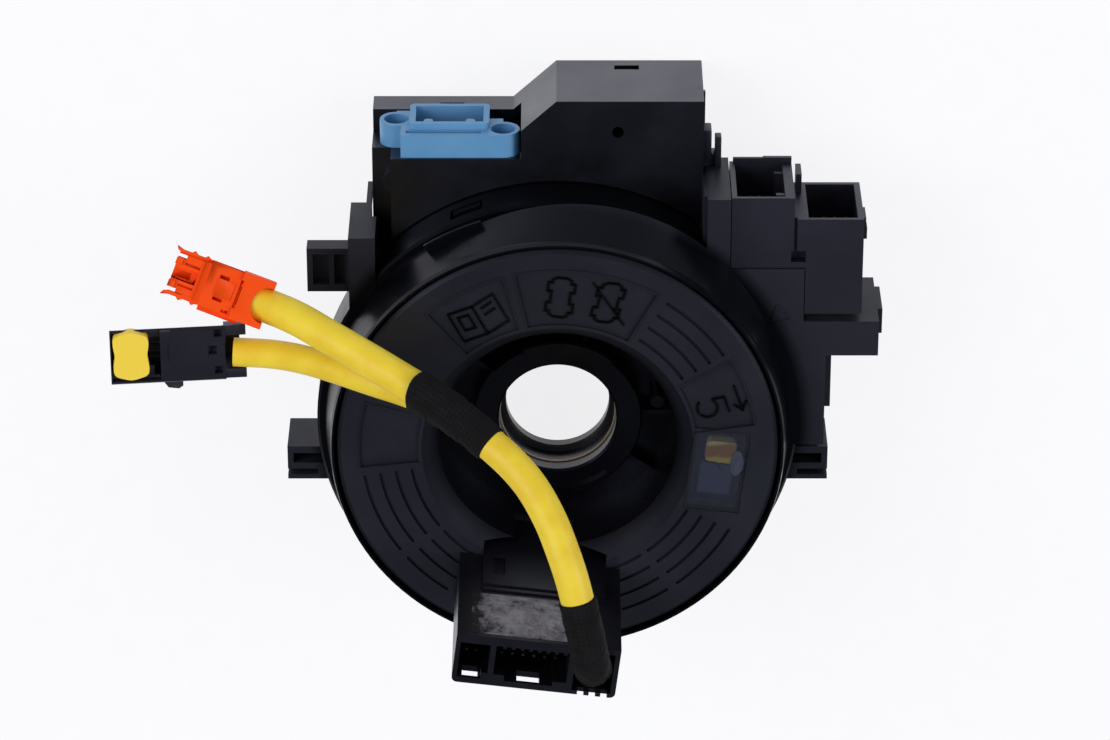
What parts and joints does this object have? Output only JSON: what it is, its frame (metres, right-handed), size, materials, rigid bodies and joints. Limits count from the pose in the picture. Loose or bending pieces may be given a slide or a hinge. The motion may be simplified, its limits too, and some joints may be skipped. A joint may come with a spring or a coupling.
{
  "type": "steering clock spring",
  "caption": "Steering clock spring: rotor with a connector tower turning in a round case with an angle sensor box, plug sockets and an airbag harness.",
  "frame": {"origin": "on the steering axis, in the plane of the sensor box's back cover", "axes": "+Z along the steering axis towards the driver, +Y up towards the board socket, +X towards the driver's right; the rotor is stored turned 7 degrees clockwise as the driver sees it"},
  "size_m": [0.1799, 0.1341, 0.1019],
  "materials": {
    "black_case": "fine moulded texture",
    "grey_box": "fine moulded texture",
    "blue_socket": "satin moulding",
    "black_socket": "satin moulding",
    "contacts": "tinned",
    "screw_steel": "zinc plated",
    "flat_cable_film": "laminated film",
    "board_green": "solder mask",
    "gear_white": "moulded acetal",
    "magnet_dark": "sintered",
    "rotor_black": "fine moulded texture",
    "tower_black": "fine moulded texture",
    "potting_grey": "mottled potting compound",
    "lens_clear": "clear moulding",
    "flag_yellow": "satin moulding",
    "flag_grey": "satin moulding",
    "tape_black": "cloth tape",
    "sleeve_yellow": "extruded sleeve",
    "plug_orange": "satin moulding",
    "plug_black": "satin moulding",
    "lock_yellow": "satin moulding"
  },
  "bodies": {
    "stator": {"outer_case": "black_case", "case_floor": "black_case", "flat_cable": "flat_cable_film", "sensor_box": "grey_box", "sensor_cover": "grey_box", "sensor_board": "board_green", "cover_screw_1": "screw_steel", "cover_screw_2": "screw_steel", "cover_screw_3": "screw_steel", "cover_screw_4": "screw_steel", "board_socket": "blue_socket", "board_pins": "contacts", "wing_sockets": "black_socket", "wing_pins_a": "contacts", "wing_pins_b": "contacts"},
    "rotor": {"rotor_face": "rotor_black", "rotor_sleeve": "gear_white", "connector_tower": "tower_black", "tower_potting": "potting_grey", "tower_pins_a": "contacts", "tower_pins_b": "contacts", "window_lens": "lens_clear", "flag_tray": "rotor_black", "neutral_flag": "flag_yellow", "flag_tab": "flag_grey", "outlet_tape": "tape_black", "trunk_sleeve": "sleeve_yellow", "junction_tape": "tape_black", "branch_sleeve_a": "sleeve_yellow", "branch_sleeve_b": "sleeve_yellow", "squib_plug_a": "plug_orange", "squib_plug_b": "plug_black"},
    "gear_a": {"sensor_gear_a": "gear_white", "sensor_magnet_a": "magnet_dark"},
    "gear_b": {"sensor_gear_b": "gear_white", "sensor_magnet_b": "magnet_dark"},
    "plug_lock": {"squib_lock": "lock_yellow"}
  },
  "joints": [
    {"name": "rotor_spin", "type": "hinge", "parent": "stator", "child": "rotor", "pos_m": [0, 0, 0], "axis": [0, 0, 1], "range_deg": [-900, 900]},
    {"name": "gear_a_spin", "type": "hinge", "parent": "stator", "child": "gear_a", "pos_m": [0.01765, 0.0332, 0.01], "axis": [0, 0, 1], "range_deg": [-2400, 2400]},
    {"name": "gear_b_spin", "type": "hinge", "parent": "stator", "child": "gear_b", "pos_m": [-0.01379, 0.03412, 0.01], "axis": [0, 0, 1], "range_deg": [-2600, 2600]},
    {"name": "lock_lift", "type": "slide", "parent": "rotor", "child": "plug_lock", "axis": [-0.0149, 0.0007, 0.9999], "range_m": [0, 0.0025]}
  ],
  "couplings": [
    {"joint": "gear_a_spin", "follows": "rotor_spin", "ratio": -2.6154},
    {"joint": "gear_b_spin", "follows": "rotor_spin", "ratio": -2.8333}
  ]
}
